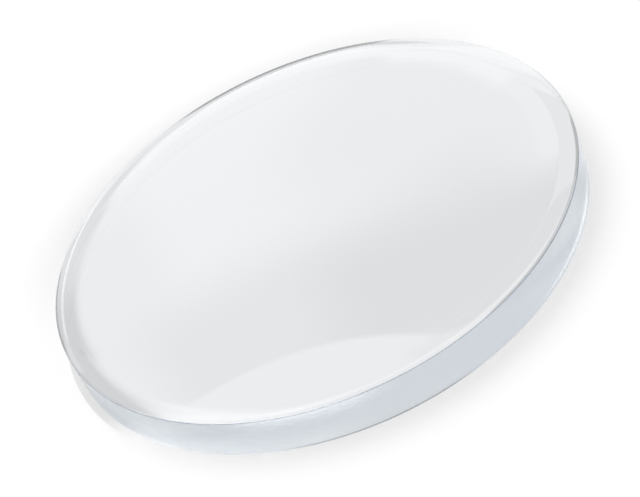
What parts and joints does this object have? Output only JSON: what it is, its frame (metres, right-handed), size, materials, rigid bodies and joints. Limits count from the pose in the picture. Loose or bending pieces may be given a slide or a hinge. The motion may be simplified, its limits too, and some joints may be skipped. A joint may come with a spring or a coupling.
{
  "type": "watch crystal",
  "caption": "Flat round watch crystal of thick clear glass, with polished faces, a soft shoulder at the edge and a fine round along each rim.",
  "frame": {"origin": "centre of the underside, the face that sits on the case's ledge", "axes": "+Z along the axis of the round, from the underside to the outer face; X and Y are any two directions across it"},
  "size_m": [0.032, 0.032, 0.0025],
  "materials": {
    "clear_glass": "clear, faces polished, wall finely ground, faintly blue through its edge"
  },
  "bodies": {
    "root": {"crystal": "clear_glass"}
  },
  "joints": []
}
